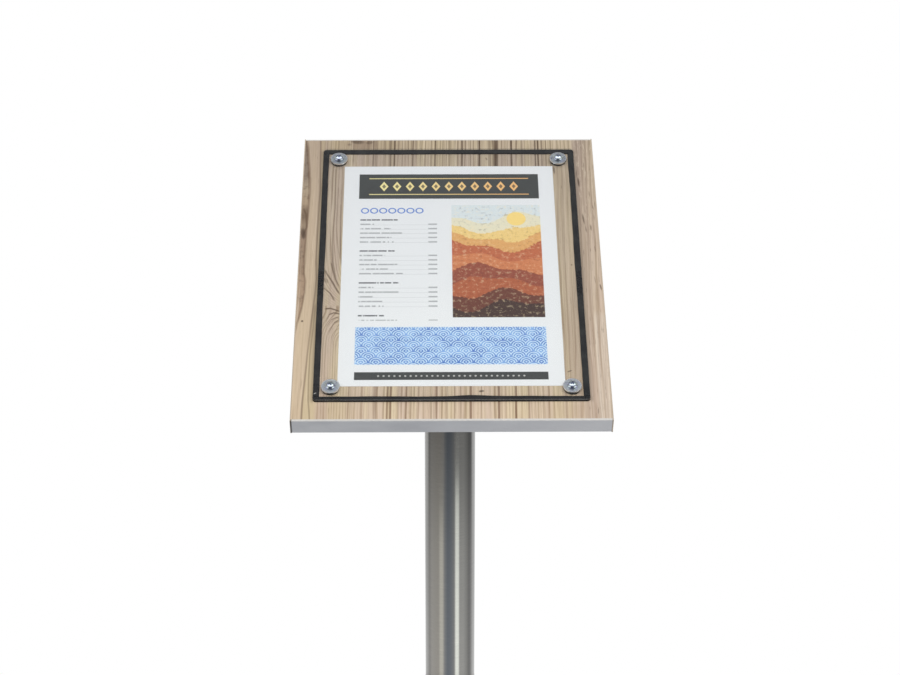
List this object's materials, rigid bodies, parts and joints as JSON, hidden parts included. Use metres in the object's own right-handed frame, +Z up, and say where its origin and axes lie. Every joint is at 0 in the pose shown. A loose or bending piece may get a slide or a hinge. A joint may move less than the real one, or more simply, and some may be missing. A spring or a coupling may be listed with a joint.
{
  "type": "information display stand",
  "caption": "Free-standing information stand: tilted wood-decor board on a round steel post, with an A4 sheet under a clear screwed cover.",
  "frame": {"origin": "on the floor, on the axis of the post, at the bottom centre of the base", "axes": "+Z up, -Y towards the person who reads the board, +X to that person's right"},
  "size_m": [0.3999, 0.4, 1.195],
  "materials": {
    "stainless": "brushed along the post",
    "zinc_steel": "bright zinc plating",
    "black_rubber": "matte",
    "wood_decor": "weathered pine decor, satin laminate",
    "backing_laminate": "matte",
    "chipboard": "raw",
    "wood_edging": "matte, wood-coloured to match the decor",
    "grey_edging": "matte light grey",
    "insert_brass": "turned",
    "printed_sheet": null,
    "clear_acrylic": "clear, glossy"
  },
  "bodies": {
    "stand": {"base_plate": "stainless", "base_pads": "black_rubber", "post_bolt": "zinc_steel", "foot_plug": "zinc_steel", "post_tube": "stainless", "head_plate": "stainless", "head_weld": "stainless", "board_screws": "zinc_steel", "panel_core": "chipboard", "face_laminate": "wood_decor", "back_laminate": "backing_laminate", "edge_band_front": "grey_edging", "edge_band_back": "grey_edging", "edge_band_left": "wood_edging", "edge_band_right": "wood_edging", "threaded_inserts": "insert_brass", "menu_sheet": "printed_sheet", "seal_top": "black_rubber", "seal_bottom": "black_rubber", "seal_left": "black_rubber", "seal_right": "black_rubber"},
    "cover": {"clear_cover": "clear_acrylic", "spacer_washers": "black_rubber", "cover_washers": "zinc_steel"},
    "screw_top_left": {"cover_screw_top_left": "zinc_steel"},
    "screw_top_right": {"cover_screw_top_right": "zinc_steel"},
    "screw_bottom_left": {"cover_screw_bottom_left": "zinc_steel"},
    "screw_bottom_right": {"cover_screw_bottom_right": "zinc_steel"}
  },
  "joints": [
    {"name": "cover_lift", "type": "slide", "parent": "stand", "child": "cover", "axis": [0, -0.5, 0.866], "range_m": [0, 0.06]},
    {"name": "screw_top_left_turn", "type": "hinge", "parent": "cover", "child": "screw_top_left", "pos_m": [-0.111, 0.13343, 1.18189], "axis": [0, -0.5, 0.866], "continuous": true},
    {"name": "screw_top_right_turn", "type": "hinge", "parent": "cover", "child": "screw_top_right", "pos_m": [0.111, 0.13343, 1.18189], "axis": [0, -0.5, 0.866], "continuous": true},
    {"name": "screw_bottom_left_turn", "type": "hinge", "parent": "cover", "child": "screw_bottom_left", "pos_m": [-0.111, -0.1333, 1.02789], "axis": [0, -0.5, 0.866], "continuous": true},
    {"name": "screw_bottom_right_turn", "type": "hinge", "parent": "cover", "child": "screw_bottom_right", "pos_m": [0.111, -0.1333, 1.02789], "axis": [0, -0.5, 0.866], "continuous": true}
  ]
}
